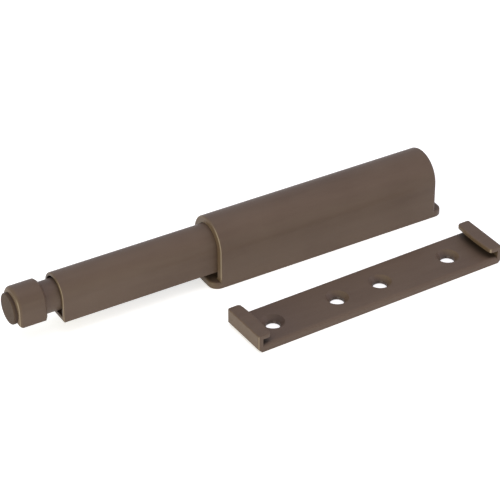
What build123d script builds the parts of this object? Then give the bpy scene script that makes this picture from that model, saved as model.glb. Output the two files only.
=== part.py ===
from build123d import *
import os
from math import cos, hypot, radians, sin

# Long push-to-open latch for a cupboard door, with its clip-on mounting plate.
# Millimetres, +Z up. The latch lies on its base along X. The origin is on the base, under the
# middle of the housing's mouth: the plunger reaches out towards -X and the housing runs to +X.

os.makedirs("parts", exist_ok=True)

# ---- Plunger ----
travel = 40.0  # from fully out to fully pressed home
sleeve_width = 10.0
sleeve_underside = 2.2  # thickness over the cam track
sleeve_engaged = 22.5  # length held in the housing when the plunger is out
sleeve_standoff = 3.0  # length left outside the housing when it is home
sleeve_wall = 1.0
mouth_wall = 0.8  # thin rim round the sleeve's open mouth
mouth_sill = 1.15  # the same rim along its flat bottom
mouth_depth = 2.0
sleeve_edge = 0.35
slide_clearance = 0.15  # all round, sleeve to housing

# ---- Housing ----
housing_wall = 1.75
rear_wall = 1.8
rear_clearance = 0.7  # left behind the plunger when it is home
floor_thickness = 1.7
sleeve_floor = 4.0  # height of the sleeve's underside, over the latch arm
front_tab = 2.25  # reach of the base tabs, which hook into the mounting plate
rear_tab = 2.6
tab_round = 2.6
tab_edge = 0.5
rim_round = 0.5
rear_round = 0.8
mouth_corner = 1.0  # rounded corners where the floor meets the sides
rail_width = 1.2  # ledges that carry the sleeve
rail_setback = 3.0

# ---- Snap barbs at the sleeve's tail, and the housing grooves that they run in ----
barb_proud = 0.6
barb_length = 3.0
barb_height = 2.4
barb_tail = 0.4  # plain length behind each barb
barb_leg = 10.0
leg_slot = 0.6
groove_clearance = 0.2
stop_clearance = 0.05

# ---- Adjustable tip: head and screw stem in one ----
stem_radius = 4.1
stem_clearance = 0.05
neck_length = 3.9  # stem showing between the sleeve and the head
stem_held = 7.2  # stem inside the sleeve
stem_chamfer = 0.5
tip_screw_in = 3.0  # how far the head can be screwed in from here
head_width = 9.4
head_above = 5.5  # crown of the head over the stem's axis
head_below = 3.4
head_length = 7.7
head_chamfer = 0.6
head_edge = 1.1

# ---- Buffer pad in the head ----
pad_radius = 4.05
pad_proud = 0.9
pad_edge = 0.4
pad_stem_radius = 2.0
pad_stem_length = 4.0
pad_clearance = 0.05

# ---- Spring and its guide ----
wire_radius = 0.35
coil_radius = 3.3  # centre line of the wire
coil_turns = 18
seat_wall = 1.2  # partition between the stem's bore and the spring's bore
seat_clearance = 0.05
guide_clearance = 0.55  # guide to the coil
guide_chamfer = 0.8
guide_flange_radius = 3.8
guide_flange = 1.0
guide_tip_gap = 2.5  # guide's tip to the partition when the plunger is home
guide_spigot_radius = 1.5
guide_spigot = 0.9

# ---- Latch arm: a bent wire whose pin rides in the cam track under the sleeve ----
arm_radius = 0.5
arm_length = 24.0
arm_bend = 1.2
arm_height = 2.55  # centre line of the arm's level run
pin_setback = 2.0  # pin to the sleeve's tail when the plunger is out
pin_engaged = 0.95
pivot_clearance = 0.05
pivot_depth = 1.1  # depth of the pivot's blind hole below the leaf recess
lane_offset = 1.6  # each lane's distance from the middle line
lane_clearance = 0.15
track_depth = 1.25
overtravel = 2.1  # pressed past the latched place to release it
notch_half_width = 0.9
notch_depth = 1.6
fork_length = 7.0
island_length = 6.0
funnel_length = 4.5
funnel_setback = 1.3

# ---- Arm keeper and the leaf spring under the arm ----
keeper_length = 6.0
keeper_width = 7.4
keeper_clearance = 0.4  # under the sleeve
keeper_slot_clearance = 0.1
peg_radius = 0.6
peg_depth = 1.0
peg_clearance = 0.05
leaf_thickness = 0.25
leaf_width = 4.0
leaf_reach = 13.0  # free length in front of the keeper
leaf_recess = 0.4
leaf_clearance = 0.05
leaf_side_clearance = 0.2

# ---- Mounting plate, lying beside the latch ----
plate_width = 14.4
plate_thickness = 2.0
plate_corner = 0.5
plate_edge = 0.9
end_bevel = 1.0  # along the underside of both ends
hook_wall = 1.3
hook_clearance = 0.55  # end wall to the housing's tab, once clipped on
lip_thickness = 1.1
lip_reach = 2.25  # over the slot, at its ends
lip_bulge = 0.4  # more than that in the middle
lip_corner = 1.0
lip_edge = 0.3
slot_height = 1.8
hole_radius = 1.85
countersink_radius = 3.0
countersink_angle = 90
hole_places = (8.7, 27.7, 40.7, 61.7)  # from the plate's front end
plate_corner_place = (-5.83, -35.345)  # its front corner, away from the latch
plate_turn = 1.87  # degrees that the plate lies askew

# ---- Sizes that follow ----
sleeve_reach = travel + sleeve_standoff
sleeve_length = sleeve_reach + sleeve_engaged
bore_radius = sleeve_width / 2 - sleeve_wall
sleeve_height = sleeve_underside + 2 * bore_radius + sleeve_wall
axis_height = sleeve_floor + sleeve_height - sleeve_width / 2
tip_height = sleeve_floor + sleeve_height / 2
cavity_width = sleeve_width + 2 * slide_clearance
cavity_top = sleeve_floor + sleeve_height + slide_clearance
housing_width = cavity_width + 2 * housing_wall
housing_height = cavity_top + housing_wall
cavity_depth = sleeve_engaged + travel + rear_clearance
housing_length = cavity_depth + rear_wall
rail_top = sleeve_floor - slide_clearance

head_rear = -sleeve_reach - neck_length
head_front = head_rear - head_length
stem_bore_radius = stem_radius + stem_clearance
guide_radius = coil_radius - wire_radius - guide_clearance
stem_end = -sleeve_reach + stem_held
stem_bore_end = stem_end + tip_screw_in + stem_chamfer
spring_front = stem_bore_end + seat_wall + seat_clearance
spring_rear = cavity_depth - guide_flange - seat_clearance

pin_place = sleeve_engaged - pin_setback
lane_width = 2 * (arm_radius + lane_clearance)
pivot_place = pin_place + (arm_length**2 - lane_offset**2) ** 0.5
leaf_floor = floor_thickness - leaf_recess
keeper_top = sleeve_floor - keeper_clearance
hook_height = plate_thickness + slot_height + lip_thickness
base_length = front_tab + housing_length + rear_tab
plate_length = base_length + 2 * (hook_clearance + hook_wall)


def arch(width, height, base):
    """A flat-bottomed arch: upright sides under a half-round top, standing at base."""
    radius = width / 2
    shoulder = base + height - radius
    with BuildSketch() as outline:
        with BuildLine():
            Polyline((-radius, shoulder), (-radius, base), (radius, base), (radius, shoulder))
            ThreePointArc((radius, shoulder), (0, base + height), (-radius, shoulder))
        make_face()
    return outline.sketch


def write(part, name):
    part.label = name
    export_step(part, f"parts/{name}.step")


# ---- Housing: one moulding, closed at the rear, with the base tabs, rails and stop grooves ----
with BuildPart() as base_slab:
    with BuildSketch(Plane.XY):
        with Locations((base_length / 2 - front_tab, 0)):
            RectangleRounded(base_length, housing_width, tab_round)
    extrude(amount=floor_thickness)
    fillet(base_slab.faces().sort_by(Axis.Z)[-1].edges(), tab_edge)

with BuildPart() as housing:
    with BuildSketch(Plane.YZ):
        add(arch(housing_width, housing_height, 0))
    extrude(amount=housing_length)
    front_rim = housing.faces().sort_by(Axis.X)[0].edges()
    rear_rim = housing.faces().sort_by(Axis.X)[-1].edges()
    fillet(front_rim.sort_by(Axis.Z)[1:], rim_round)
    fillet(rear_rim.sort_by(Axis.Z)[1:], rear_round)
    add(base_slab.part)
    with BuildSketch(Plane.YZ) as cavity:
        add(arch(cavity_width, cavity_top - floor_thickness, floor_thickness))
        fillet(cavity.vertices().group_by(Axis.Y)[0], mouth_corner)
    extrude(amount=cavity_depth, mode=Mode.SUBTRACT)
    rail_offset = (cavity_width - rail_width) / 2
    rail_height = rail_top - floor_thickness
    with BuildSketch(Plane.YZ.offset(rail_setback)):
        with Locations((-rail_offset, floor_thickness), (rail_offset, floor_thickness)):
            Rectangle(rail_width, rail_height, align=(Align.CENTER, Align.MIN))
    extrude(amount=cavity_depth - rail_setback)
    groove_start = sleeve_engaged - barb_tail - barb_length - stop_clearance
    with BuildSketch(Plane.YZ.offset(groove_start)):
        with Locations((0, axis_height)):
            Rectangle(
                cavity_width + 2 * (barb_proud + groove_clearance),
                barb_height + 2 * groove_clearance,
            )
    extrude(amount=cavity_depth - groove_start, mode=Mode.SUBTRACT)
    keeper_front = pivot_place - keeper_length / 2
    leaf_rear = pivot_place + keeper_length / 2
    with BuildSketch(Plane.XY.offset(leaf_floor)):
        with Locations((leaf_rear + leaf_side_clearance, 0)):
            Rectangle(
                keeper_length + leaf_reach + 2 * leaf_side_clearance,
                leaf_width + 2 * leaf_side_clearance,
                align=(Align.MAX, Align.CENTER),
            )
    extrude(amount=leaf_recess, mode=Mode.SUBTRACT)
    with Locations((pivot_place, 0, leaf_floor)):
        Hole(arm_radius + pivot_clearance, depth=pivot_depth)
    peg_offset = (keeper_width + leaf_width) / 4 + leaf_side_clearance / 2
    with Locations(
        (pivot_place, -peg_offset, floor_thickness), (pivot_place, peg_offset, floor_thickness)
    ):
        Hole(peg_radius + peg_clearance, depth=peg_depth)
    with BuildSketch(Plane.YZ.offset(cavity_depth)):
        with Locations((0, axis_height)):
            Circle(guide_spigot_radius)
    extrude(amount=guide_spigot, mode=Mode.SUBTRACT)
write(housing.part, "housing")

# ---- Cam track: the pin's path under the sleeve, in the sleeve's place when it is out ----
# The pin enters by the funnel at the tail, is led across to the far lane, waits in the island's
# notch while the latch is shut, and comes back by the straight lane.
pocket_end = pin_place - travel
notch_place = pocket_end + overtravel
notch_tip = notch_place + arm_radius * hypot(notch_half_width, notch_depth) / notch_half_width
island_front = notch_tip - notch_depth
island_rear = island_front + island_length
fork_place = island_rear + fork_length
funnel_front = pin_place - funnel_setback - funnel_length
funnel_rear = pin_place - funnel_setback
track_half_width = lane_offset + lane_width / 2
with BuildSketch(Plane.XY.offset(sleeve_floor)) as cam_track:
    with BuildLine() as straight_lane:
        Line((sleeve_engaged, -lane_offset), (pocket_end, -lane_offset))
    trace(line_width=lane_width)
    with BuildLine() as far_lane:
        Polyline((fork_place, -lane_offset), (island_rear, lane_offset), (pocket_end, lane_offset))
    trace(line_width=lane_width)
    with BuildLine() as funnel:
        Polyline(
            (funnel_front, -track_half_width),
            (sleeve_engaged, -track_half_width),
            (sleeve_engaged, track_half_width),
            (funnel_rear, track_half_width),
            (funnel_front, lane_width / 2 - lane_offset),
            close=True,
        )
    make_face()
    with BuildLine() as pocket:
        Polyline(
            (pocket_end - lane_width / 2, -track_half_width),
            (island_front, -track_half_width),
            (island_front, -notch_half_width),
            (notch_tip, 0),
            (island_front, notch_half_width),
            (island_front, track_half_width),
            (pocket_end - lane_width / 2, track_half_width),
            close=True,
        )
    make_face()

# ---- Plunger sleeve: a deep hollow moulding with the cam track in its underside ----
with BuildPart() as plunger_sleeve:
    with BuildSketch(Plane.YZ.offset(-sleeve_reach)):
        add(arch(sleeve_width, sleeve_height, sleeve_floor))
    extrude(amount=sleeve_length)
    sleeve_ends = plunger_sleeve.faces().sort_by(Axis.X)
    fillet(sleeve_ends[0].edges(), sleeve_edge)
    chamfer(plunger_sleeve.faces().sort_by(Axis.X)[-1].edges(), sleeve_edge)
    with BuildSketch(Plane.YZ.offset(-sleeve_reach)):
        mouth_height = sleeve_height - mouth_sill - mouth_wall
        add(arch(sleeve_width - 2 * mouth_wall, mouth_height, sleeve_floor + mouth_sill))
    extrude(amount=mouth_depth, mode=Mode.SUBTRACT)
    with BuildSketch(Plane.YZ.offset(-sleeve_reach)):
        with Locations((0, tip_height)):
            Circle(stem_bore_radius)
    extrude(amount=sleeve_reach + stem_bore_end, mode=Mode.SUBTRACT)
    with BuildSketch(Plane.YZ.offset(sleeve_engaged)):
        with Locations((0, axis_height)):
            Circle(bore_radius)
    extrude(amount=spring_front - seat_clearance - sleeve_engaged, mode=Mode.SUBTRACT)
    extrude(cam_track.sketch, amount=track_depth, mode=Mode.SUBTRACT)
    with BuildSketch(Plane.YZ.offset(sleeve_engaged - barb_leg)):
        leg_offset = (barb_height + leg_slot) / 2
        with Locations((0, axis_height - leg_offset), (0, axis_height + leg_offset)):
            Rectangle(sleeve_width + 2 * barb_proud, leg_slot)
    extrude(amount=barb_leg, mode=Mode.SUBTRACT)
    barb_front = sleeve_engaged - barb_tail - barb_length
    with BuildSketch(Plane.XY.offset(axis_height - barb_height / 2)):
        for side in (-1, 1):
            skin = side * (sleeve_width / 2 - sleeve_wall / 2)
            crest = side * (sleeve_width / 2 + barb_proud)
            with BuildLine():
                Polyline(
                    (barb_front, skin),
                    (barb_front, crest),
                    (barb_front + barb_length / 3, crest),
                    (barb_front + barb_length, skin),
                    close=True,
                )
            make_face()
    extrude(amount=barb_height)
write(plunger_sleeve.part, "plunger_sleeve")

# ---- Tip head and its screw stem, one moulding; its fine thread is left plain here ----
with BuildPart() as tip_head:
    with BuildSketch(Plane.YZ.offset(head_front)):
        add(arch(head_width, head_above + head_below, tip_height - head_below))
    extrude(amount=head_length)
    chamfer(tip_head.faces().sort_by(Axis.X)[-1].edges(), head_chamfer)
    fillet(tip_head.faces().sort_by(Axis.X)[0].edges(), head_edge)
    with BuildSketch(Plane.YZ.offset(head_rear - head_chamfer)):
        with Locations((0, tip_height)):
            Circle(stem_radius)
    extrude(amount=head_chamfer + neck_length + stem_held)
    chamfer(tip_head.faces().sort_by(Axis.X)[-1].edges(), stem_chamfer)
    with BuildSketch(Plane.YZ.offset(head_front)):
        with Locations((0, tip_height)):
            Circle(pad_stem_radius + pad_clearance)
    extrude(amount=pad_stem_length + 2 * pad_clearance, mode=Mode.SUBTRACT)
write(tip_head.part, "tip_head")

# ---- Buffer pad: a soft button plugged into the head, round which the head can turn ----
with BuildPart() as tip_pad:
    with BuildSketch(Plane.YZ.offset(head_front)):
        with Locations((0, tip_height)):
            Circle(pad_radius)
    extrude(amount=-pad_proud)
    fillet(tip_pad.faces().sort_by(Axis.X)[0].edges(), pad_edge)
    with BuildSketch(Plane.YZ.offset(head_front)):
        with Locations((0, tip_height)):
            Circle(pad_stem_radius)
    extrude(amount=pad_stem_length)
write(tip_pad.part, "tip_pad")

# ---- Spring guide: a pin with a flange, plugged into the rear wall ----
with BuildPart() as spring_guide:
    guide_tip = spring_front - seat_clearance + travel + guide_tip_gap
    with BuildSketch(Plane.YZ.offset(cavity_depth)):
        with Locations((0, axis_height)):
            Circle(guide_flange_radius)
    extrude(amount=-guide_flange)
    with BuildSketch(Plane.YZ.offset(cavity_depth)):
        with Locations((0, axis_height)):
            Circle(guide_radius)
    extrude(amount=guide_tip - cavity_depth)
    chamfer(spring_guide.faces().sort_by(Axis.X)[0].edges(), guide_chamfer)
    with BuildSketch(Plane.YZ.offset(cavity_depth)):
        with Locations((0, axis_height)):
            Circle(guide_spigot_radius)
    extrude(amount=guide_spigot)
write(spring_guide.part, "spring_guide")

# ---- Plunger spring: from the partition in the sleeve to the guide's flange ----
with BuildPart() as plunger_spring:
    coil_length = spring_rear - spring_front - 2 * wire_radius
    with BuildLine() as coil:
        Helix(
            coil_length / coil_turns,
            coil_length,
            coil_radius,
            center=(spring_front + wire_radius, 0, axis_height),
            direction=(1, 0, 0),
        )
    with BuildSketch(Plane(origin=coil.line @ 0, z_dir=coil.line % 0)):
        Circle(wire_radius)
    sweep(is_frenet=True)
write(plunger_spring.part, "plunger_spring")

# ---- Latch arm: wire with a pivot leg down into the floor and a pin up into the cam track ----
arm_plane = Plane(
    origin=(pivot_place, 0, 0),
    x_dir=(pin_place - pivot_place, -lane_offset, 0),
    z_dir=(-lane_offset, pivot_place - pin_place, 0),
)
with BuildPart() as latch_arm:
    with BuildLine(arm_plane) as wire_path:
        pivot_foot = leaf_floor - pivot_depth + pivot_clearance
        FilletPolyline(
            (0, pivot_foot),
            (0, arm_height),
            (arm_length, arm_height),
            (arm_length, sleeve_floor + pin_engaged),
            radius=arm_bend,
        )
    with BuildSketch(Plane(origin=wire_path.line @ 0, z_dir=wire_path.line % 0)):
        Circle(arm_radius)
    sweep()
write(latch_arm.part, "latch_arm")

# ---- Arm keeper: a bridge over the pivot, pegged into the floor ----
with BuildPart() as arm_keeper:
    with BuildSketch(Plane.XY.offset(floor_thickness)):
        with Locations((pivot_place, 0)):
            Rectangle(keeper_length, keeper_width)
    extrude(amount=keeper_top - floor_thickness)
    slot_top = arm_height + arm_radius + keeper_slot_clearance
    with BuildSketch(Plane.XY.offset(floor_thickness)):
        with Locations((pivot_place, 0)):
            Rectangle(keeper_length, leaf_width + 2 * leaf_side_clearance)
    extrude(amount=slot_top - floor_thickness, mode=Mode.SUBTRACT)
    with BuildSketch(Plane.XY.offset(floor_thickness)):
        with Locations((pivot_place, -peg_offset), (pivot_place, peg_offset)):
            Circle(peg_radius)
    extrude(amount=-peg_depth + peg_clearance)
write(arm_keeper.part, "arm_keeper")

# ---- Leaf spring under the arm: flat under the keeper, then rising to the arm ----
with BuildPart() as arm_leaf:
    leaf_tip = leaf_rear - keeper_length - leaf_reach
    leaf_rise = arm_height - arm_radius - leaf_clearance - leaf_thickness
    with BuildSketch(Plane.XZ):
        with BuildLine():
            Polyline(
                (leaf_rear, leaf_floor),
                (leaf_rear, leaf_floor + leaf_thickness),
                (keeper_front, leaf_floor + leaf_thickness),
                (leaf_tip, leaf_rise + leaf_thickness),
                (leaf_tip, leaf_rise),
                (keeper_front, leaf_floor),
                close=True,
            )
        make_face()
    extrude(amount=leaf_width / 2, both=True)
    with Locations((pivot_place, 0, leaf_floor + leaf_thickness)):
        Hole(arm_radius + 2 * pivot_clearance, depth=leaf_thickness)
write(arm_leaf.part, "arm_leaf")

# ---- Mounting plate, in its own place beside the latch ----
plate_plane = Plane(
    origin=(*plate_corner_place, 0),
    x_dir=(cos(radians(plate_turn)), sin(radians(plate_turn)), 0),
    z_dir=(0, 0, 1),
)
with BuildPart() as mounting_plate:
    with BuildSketch(plate_plane):
        with Locations((plate_length / 2, plate_width / 2)):
            Rectangle(plate_length, plate_width)
    extrude(amount=hook_height)
    underside = mounting_plate.faces().sort_by(Axis.Z)[0]
    chamfer(underside.edges().sort_by(SortBy.LENGTH)[:2], end_bevel)
    fillet(mounting_plate.edges().filter_by(Axis.Z), plate_corner)
    slot_inside = plate_length - 2 * hook_wall
    with BuildSketch(plate_plane.offset(plate_thickness)):
        with Locations((plate_length / 2, plate_width / 2)):
            Rectangle(slot_inside, plate_width)
    extrude(amount=slot_height, mode=Mode.SUBTRACT)
    with BuildSketch(plate_plane.offset(plate_thickness + slot_height)):
        reach = hook_wall + lip_reach
        with BuildLine():
            Line((reach, 0), (plate_length - reach, 0))
            ThreePointArc(
                (plate_length - reach, 0),
                (plate_length - reach - lip_bulge, plate_width / 2),
                (plate_length - reach, plate_width),
            )
            Line((plate_length - reach, plate_width), (reach, plate_width))
            ThreePointArc((reach, plate_width), (reach + lip_bulge, plate_width / 2), (reach, 0))
        make_face()
    extrude(amount=lip_thickness, mode=Mode.SUBTRACT)
    fillet(mounting_plate.edges().filter_by(Axis.Z).sort_by(SortBy.LENGTH)[:4], lip_corner)
    upper_edges = mounting_plate.faces().sort_by(Axis.Z)[-2:].edges()
    fillet(upper_edges, lip_edge)
    bed = mounting_plate.faces().filter_by(Axis.Z).group_by(Axis.Z)[1]
    fillet(bed.edges().sort_by(SortBy.LENGTH)[-2:], plate_edge)
    with Locations(
        *[plate_plane * Location((place, plate_width / 2, plate_thickness)) for place in hole_places]
    ):
        CounterSinkHole(
            hole_radius,
            countersink_radius,
            depth=plate_thickness,
            counter_sink_angle=countersink_angle,
        )
write(mounting_plate.part, "mounting_plate")
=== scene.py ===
from math import cos, pi, radians, sin

import bmesh
import bpy
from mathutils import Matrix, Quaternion, Vector


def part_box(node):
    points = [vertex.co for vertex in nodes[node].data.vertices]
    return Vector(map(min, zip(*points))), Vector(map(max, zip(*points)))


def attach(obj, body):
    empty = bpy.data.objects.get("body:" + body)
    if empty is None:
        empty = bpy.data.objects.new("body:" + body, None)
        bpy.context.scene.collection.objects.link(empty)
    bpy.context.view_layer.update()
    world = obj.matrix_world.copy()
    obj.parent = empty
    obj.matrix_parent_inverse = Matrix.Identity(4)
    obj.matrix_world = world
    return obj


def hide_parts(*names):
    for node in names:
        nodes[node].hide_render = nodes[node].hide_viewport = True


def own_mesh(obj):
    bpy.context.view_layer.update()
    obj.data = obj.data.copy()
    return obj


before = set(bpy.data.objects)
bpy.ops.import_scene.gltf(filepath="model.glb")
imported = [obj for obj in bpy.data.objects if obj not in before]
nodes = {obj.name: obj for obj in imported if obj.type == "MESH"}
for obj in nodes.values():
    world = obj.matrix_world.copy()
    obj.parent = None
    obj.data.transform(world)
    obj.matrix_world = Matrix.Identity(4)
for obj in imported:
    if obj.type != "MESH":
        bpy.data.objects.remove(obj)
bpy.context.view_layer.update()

# ---- Where the camera stands: a long lens, looking down on the latch from beyond its tip ----
AIM = Vector((0.01505, 0.0044, 0.0))
AZIMUTH = radians(-30.38)
ELEVATION = radians(34.1)
ROLL = radians(0.106)
DISTANCE = 0.5937
LENS = 165.6
SENSOR = 36.0
CLIP_NEAR = 0.01
CLIP_FAR = 10.0

# ---- Colours, as linear values ----
BROWN = (0.125, 0.083, 0.058, 1.0)
BROWN_DEEP = (0.108, 0.070, 0.049, 1.0)
BROWN_PALE = (0.139, 0.095, 0.067, 1.0)
# painted highlight: a pale brown standing for the light caught by the rounded front edges
BROWN_PAINTED_HIGHLIGHT = (0.28, 0.22, 0.168, 1.0)
# painted shade: the dark brown laid into corners, gaps and holes
PAINTED_RECESS_SHADE = (0.055, 0.036, 0.026, 1.0)
PAD_BROWN = (0.074, 0.049, 0.037, 1.0)
PAD_DEEP = (0.064, 0.042, 0.032, 1.0)
STEEL = (0.56, 0.56, 0.57, 1.0)
STEEL_DEEP = (0.36, 0.36, 0.38, 1.0)
WHITE = (1.0, 1.0, 1.0, 1.0)

# ---- The plastic's surface ----
STREAK_STRETCH = (0.12, 1.0, 1.0)  # draws the flow streaks out along X
STREAK_SCALE = 420.0
MOTTLE_SCALE = 70.0
MOTTLE_MOST = 0.55  # how much of the pale brown the mottling takes up
GRAIN_RELIEF = 0.00002
HIGHLIGHT_FADE = 0.0006  # the height over which the painted highlight fades in
ROUGHNESS_DOWN = 0.06
ROUGHNESS_UP = 0.08
PLASTIC_IOR = 1.5

# ---- The steel's surface ----
MARK_SCALE = 1800.0
MARK_RELIEF = 0.00001

# ---- The plunger's spring ----
SPRING_TURNS = 18
WIRE_RADIUS = 0.00035
END_CLOSING = 0.35  # how far the end turns close up: 0 not at all, 1 quite

# ---- Stage ----
FLOOR_SIZE = 6.0
FLOOR_HEIGHT = -0.00005  # just under the bases, so no two faces share a plane
FLOOR_PAPER = (0.9, 0.9, 0.9, 1.0)
FLOOR_GLOW = 0.6
SKY_COLOUR = (0.85, 0.89, 1.0, 1.0)
SKY_STRENGTH = 0.53
LAMPS = (
    # name, place, size, watts, colour
    ("key", (-1.30, -0.24, 0.28), (0.6, 0.4), 9.2, (1.0, 0.97, 0.50)),
    ("top", (0.0, 0.0, 0.8), (0.8, 0.8), 1.7, (1.0, 0.88, 0.92)),
    ("fill", (0.1, -0.7, 0.14), (0.6, 0.2), 0.65, (1.0, 0.93, 0.75)),
    ("right", (0.6, -0.35, 0.35), (0.4, 0.4), 0.85, (1.0, 0.85, 0.90)),
    ("back", (0.0, 0.6, 0.4), (0.6, 0.4), 0.4, (0.90, 0.95, 1.0)),
)

# ---- A colour mix node has several inputs and outputs of one name, so these go by number ----
MIX_SHARE = 0
MIX_UNDER = 6
MIX_OVER = 7
MIX_COLOUR = 2


class Shading:
    """A new material's node tree, with short ways to add nodes to it. A value handed in is either
    another node's output, which is linked, or a plain value, which is set."""

    def __init__(self, name):
        self.material = bpy.data.materials.new(name)
        self.material.use_nodes = True
        self.tree = self.material.node_tree

    def feed(self, socket, value):
        if isinstance(value, bpy.types.NodeSocket):
            self.tree.links.new(value, socket)
        else:
            socket.default_value = value

    def add(self, kind, settings=None, **inputs):
        node = self.tree.nodes.new(kind)
        for key, value in (settings or {}).items():
            setattr(node, key, value)
        for key, value in inputs.items():
            self.feed(node.inputs[key.replace("_", " ")], value)
        return node

    def reckon(self, operation, *values):
        node = self.add("ShaderNodeMath", {"operation": operation})
        for socket, value in zip(node.inputs, values):
            self.feed(socket, value)
        return node.outputs["Value"]

    def blend(self, share, under, over):
        node = self.add("ShaderNodeMix", {"data_type": "RGBA"})
        self.feed(node.inputs[MIX_SHARE], share)
        self.feed(node.inputs[MIX_UNDER], under)
        self.feed(node.inputs[MIX_OVER], over)
        return node.outputs[MIX_COLOUR]

    def noise(self, place, scale, detail, roughness):
        node = self.add(
            "ShaderNodeTexNoise", Vector=place, Scale=scale, Detail=detail, Roughness=roughness
        )
        return node.outputs["Fac"]

    def ranged(self, value, start, end, low=0.0, high=1.0, kind="LINEAR"):
        node = self.add(
            "ShaderNodeMapRange",
            {"interpolation_type": kind},
            Value=value,
            From_Min=start,
            From_Max=end,
            To_Min=low,
            To_Max=high,
        )
        return node.outputs["Result"]

    def eased(self, value, start, end):
        return self.ranged(value, start, end, kind="SMOOTHSTEP")

    def surface(self, **inputs):
        """Feeds the material's own Principled shader."""
        shader = next(node for node in self.tree.nodes if node.type == "BSDF_PRINCIPLED")
        for key, value in inputs.items():
            self.feed(shader.inputs[key.replace("_", " ")], value)


def moulded_plastic(
    name,
    base=BROWN,
    deep=BROWN_DEEP,
    pale=BROWN_PALE,
    highlight_colour=BROWN_PAINTED_HIGHLIGHT,
    grain=2600.0,
    gloss=0.48,
    shine=0.35,
    highlight_above=-0.001,
    highlight_band=(-0.40, -0.66, -0.80, -0.96),
    highlight_side=(0.15, 0.6),
    shade_reach=0.002,
    shade_span=(0.85, 0.2),
):
    """Satin moulded plastic: flow streaks along X, faint mottling, the fine grain of the mould, a
    painted highlight along the rounded upright edges of its front ends, and painted shade in
    recesses.

    gloss is the mean roughness. The painted highlight starts at the height highlight_above,
    highlight_band says where it comes and goes as the edge turns to face the front, and
    highlight_side how far the edge must face sideways. Painted shade lies where the plastic faces
    itself within shade_reach, and shade_span says at which openness the darkening starts and
    where it is full."""
    shading = Shading(name)
    place = shading.add("ShaderNodeTexCoord").outputs["Object"]
    normal = shading.add("ShaderNodeTexCoord").outputs["Normal"]
    drawn = shading.add("ShaderNodeMapping", Vector=place, Scale=STREAK_STRETCH)
    streaks = shading.noise(drawn.outputs["Vector"], STREAK_SCALE, 4.0, 0.55)
    mottle = shading.noise(place, MOTTLE_SCALE, 3.0, 0.5)
    fine = shading.noise(place, grain, 3.0, 0.6)
    colour = shading.blend(shading.ranged(streaks, 0.3, 0.7), deep, base)
    colour = shading.blend(shading.ranged(mottle, 0.35, 0.65, high=MOTTLE_MOST), colour, pale)

    facing = shading.add("ShaderNodeSeparateXYZ", Vector=normal).outputs
    height = shading.add("ShaderNodeSeparateXYZ", Vector=place).outputs["Z"]
    sideways = shading.reckon("ABSOLUTE", facing["Y"])
    # painted highlight: paler brown where the normal turns between the front and the side,
    # standing for the light the rounded front edges catch
    begin, full, wane, end = highlight_band
    highlight_share = shading.eased(facing["X"], begin, full)
    for mask in (
        shading.eased(facing["X"], end, wane),
        shading.eased(sideways, *highlight_side),
        shading.eased(height, highlight_above, highlight_above + HIGHLIGHT_FADE),
    ):
        highlight_share = shading.reckon("MULTIPLY", highlight_share, mask)
    colour = shading.blend(highlight_share, colour, highlight_colour)

    # painted shade: darker where the plastic faces itself closely, in corners, gaps and holes
    occlusion = shading.add(
        "ShaderNodeAmbientOcclusion", {"samples": 16, "only_local": True}, Distance=shade_reach
    )
    painted_shade_share = shading.eased(occlusion.outputs["AO"], *shade_span)
    colour = shading.blend(painted_shade_share, colour, PAINTED_RECESS_SHADE)

    bump = shading.add("ShaderNodeBump", Strength=0.35, Distance=GRAIN_RELIEF, Height=fine)
    shading.surface(
        Base_Color=colour,
        Roughness=shading.ranged(fine, 0.3, 0.7, gloss - ROUGHNESS_DOWN, gloss + ROUGHNESS_UP),
        Normal=bump.outputs["Normal"],
        IOR=PLASTIC_IOR,
        Specular_IOR_Level=shine,
    )
    return shading.material


def spring_steel(name):
    """Bright drawn steel with fine drawing marks."""
    shading = Shading(name)
    place = shading.add("ShaderNodeTexCoord").outputs["Object"]
    marks = shading.noise(place, MARK_SCALE, 4.0, 0.65)
    bump = shading.add("ShaderNodeBump", Strength=0.2, Distance=MARK_RELIEF, Height=marks)
    shading.surface(
        Base_Color=shading.blend(marks, STEEL_DEEP, STEEL),
        Roughness=shading.ranged(marks, 0.0, 1.0, 0.22, 0.4),
        Normal=bump.outputs["Normal"],
        Metallic=1.0,
    )
    return shading.material


def wear(obj, material):
    """Puts one material in every slot of a CAD node."""
    for slot in obj.material_slots:
        slot.material = material


def coil(name, node, turns, wire_radius, steps=28, sides=10):
    """A wound spring where the CAD spring lies, with its end turns closed up."""
    low, high = (Vector(occlusion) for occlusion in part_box(node))
    middle = (low + high) / 2
    radius = (high.y - low.y) / 2 - wire_radius
    start, end = low.x + wire_radius, high.x - wire_radius
    mesh = bpy.data.meshes.new(name)
    form = bmesh.new()
    count = turns * steps
    rings = []
    for index in range(count + 1):
        share = index / count
        angle = 2 * pi * turns * share
        along = share - sin(2 * pi * share) / (2 * pi) * END_CLOSING
        centre = Vector((start + (end - start) * along, middle.y, middle.z))
        outward = Vector((0.0, cos(angle), sin(angle)))
        ring = []
        for side in range(sides):
            around = 2 * pi * side / sides
            offset = outward * cos(around) + Vector((1.0, 0.0, 0.0)) * sin(around)
            ring.append(form.verts.new(centre + outward * radius + offset * wire_radius))
        rings.append(ring)
    for one, other in zip(rings, rings[1:]):
        for side in range(sides):
            after = (side + 1) % sides
            form.faces.new((one[side], one[after], other[after], other[side]))
    form.faces.new(rings[0])
    form.faces.new(reversed(rings[-1]))
    bmesh.ops.recalc_face_normals(form, faces=form.faces)
    form.to_mesh(mesh)
    form.free()
    for face in mesh.polygons:
        face.use_smooth = True
    obj = bpy.data.objects.new(name, mesh)
    bpy.context.collection.objects.link(obj)
    return obj


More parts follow.
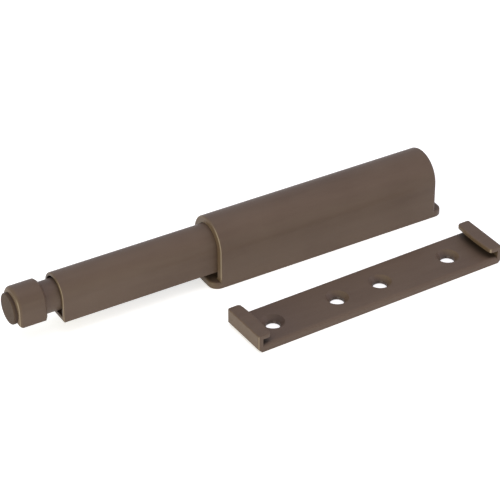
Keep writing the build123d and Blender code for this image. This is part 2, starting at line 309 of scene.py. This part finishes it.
def set_lamp(name, place, size, watts, colour):
    """A soft rectangular lamp that faces the aim point."""
    data = bpy.data.lights.new(name, "AREA")
    data.shape = "RECTANGLE"
    data.size, data.size_y = size
    data.energy = watts
    data.color = colour
    obj = bpy.data.objects.new(name, data)
    obj.location = place
    obj.rotation_euler = (AIM - Vector(place)).to_track_quat("-Z", "Y").to_euler()
    bpy.context.collection.objects.link(obj)


def set_camera():
    """The photograph's camera."""
    data = bpy.data.cameras.new("camera")
    data.lens = LENS
    data.sensor_width = SENSOR
    data.clip_start = CLIP_NEAR
    data.clip_end = CLIP_FAR
    obj = bpy.data.objects.new("camera", data)
    level = Vector((-sin(AZIMUTH), cos(AZIMUTH), 0.0))
    ahead = level * cos(ELEVATION) - Vector((0.0, 0.0, sin(ELEVATION)))
    obj.location = AIM - ahead * DISTANCE
    turn = ahead.to_track_quat("-Z", "Y")
    turn.rotate(Quaternion(ahead, ROLL))
    obj.rotation_euler = turn.to_euler()
    bpy.context.collection.objects.link(obj)
    bpy.context.scene.camera = obj


def set_floor():
    """A wide white floor that keeps the soft shadow. It glows for the camera, also in glossy
    reflections and through clear pieces, so it shows as white there."""
    bpy.ops.mesh.primitive_plane_add(size=FLOOR_SIZE, location=(0.0, 0.0, FLOOR_HEIGHT))
    floor = bpy.context.object
    floor.name = "floor"
    shading = Shading("floor_white")
    shading.tree.nodes.clear()
    path = shading.add("ShaderNodeLightPath").outputs
    seen = shading.reckon("MAXIMUM", path["Is Camera Ray"], path["Is Glossy Ray"])
    seen = shading.reckon("MAXIMUM", seen, path["Is Transmission Ray"])
    strength = shading.reckon("MULTIPLY", seen, FLOOR_GLOW)
    paper = shading.add("ShaderNodeBsdfDiffuse", Color=FLOOR_PAPER)
    glow = shading.add("ShaderNodeEmission", Color=WHITE, Strength=strength)
    both = shading.add("ShaderNodeAddShader")
    for socket, shader in zip(both.inputs, (paper, glow)):
        shading.feed(socket, shader.outputs[0])
    shading.add("ShaderNodeOutputMaterial", Surface=both.outputs[0])
    floor.data.materials.append(shading.material)


def set_world():
    """A pale sky that fills the shadows."""
    world = bpy.data.worlds.new("studio")
    world.use_nodes = True
    sky = world.node_tree.nodes["Background"]
    sky.inputs["Color"].default_value = SKY_COLOUR
    sky.inputs["Strength"].default_value = SKY_STRENGTH
    bpy.context.scene.world = world


# ---- Materials ----
plastic = moulded_plastic("brown_plastic")
steel = spring_steel("spring_steel")
# the housing, head and plate get their own settings for the painted highlight on their front
# edges
worn = {
    "housing": moulded_plastic("housing_brown", highlight_above=0.0022),
    "tip_head": moulded_plastic(
        "head_brown", highlight_band=(-0.58, -0.68, -0.74, -0.84), highlight_side=(0.46, 0.64)
    ),
    # the plate's painted shade reaches further, so its countersinks and slots come out darker
    "mounting_plate": moulded_plastic(
        "plate_brown", highlight_side=(0.5, 0.62), shade_reach=0.006, shade_span=(0.85, 0.35)
    ),
    "tip_pad": moulded_plastic(
        "soft_pad", PAD_BROWN, PAD_DEEP, PAD_BROWN, PAD_BROWN, grain=3400.0, gloss=0.6, shine=0.12
    ),
    "plunger_spring": steel,
    "latch_arm": steel,
    "arm_leaf": steel,
}
for name, obj in nodes.items():
    wear(obj, worn.get(name, plastic))

# ---- The plunger's spring, wound where the CAD spring lies ----
spring = coil("spring_coil", "plunger_spring", SPRING_TURNS, WIRE_RADIUS)
spring.data.materials.append(steel)
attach(spring, "latch_base")
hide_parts("plunger_spring")
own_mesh(spring)

# ---- Camera, floor and light ----
set_camera()
set_floor()
set_world()
for lamp in LAMPS:
    set_lamp(*lamp)
bpy.context.scene.view_settings.view_transform = "Standard"
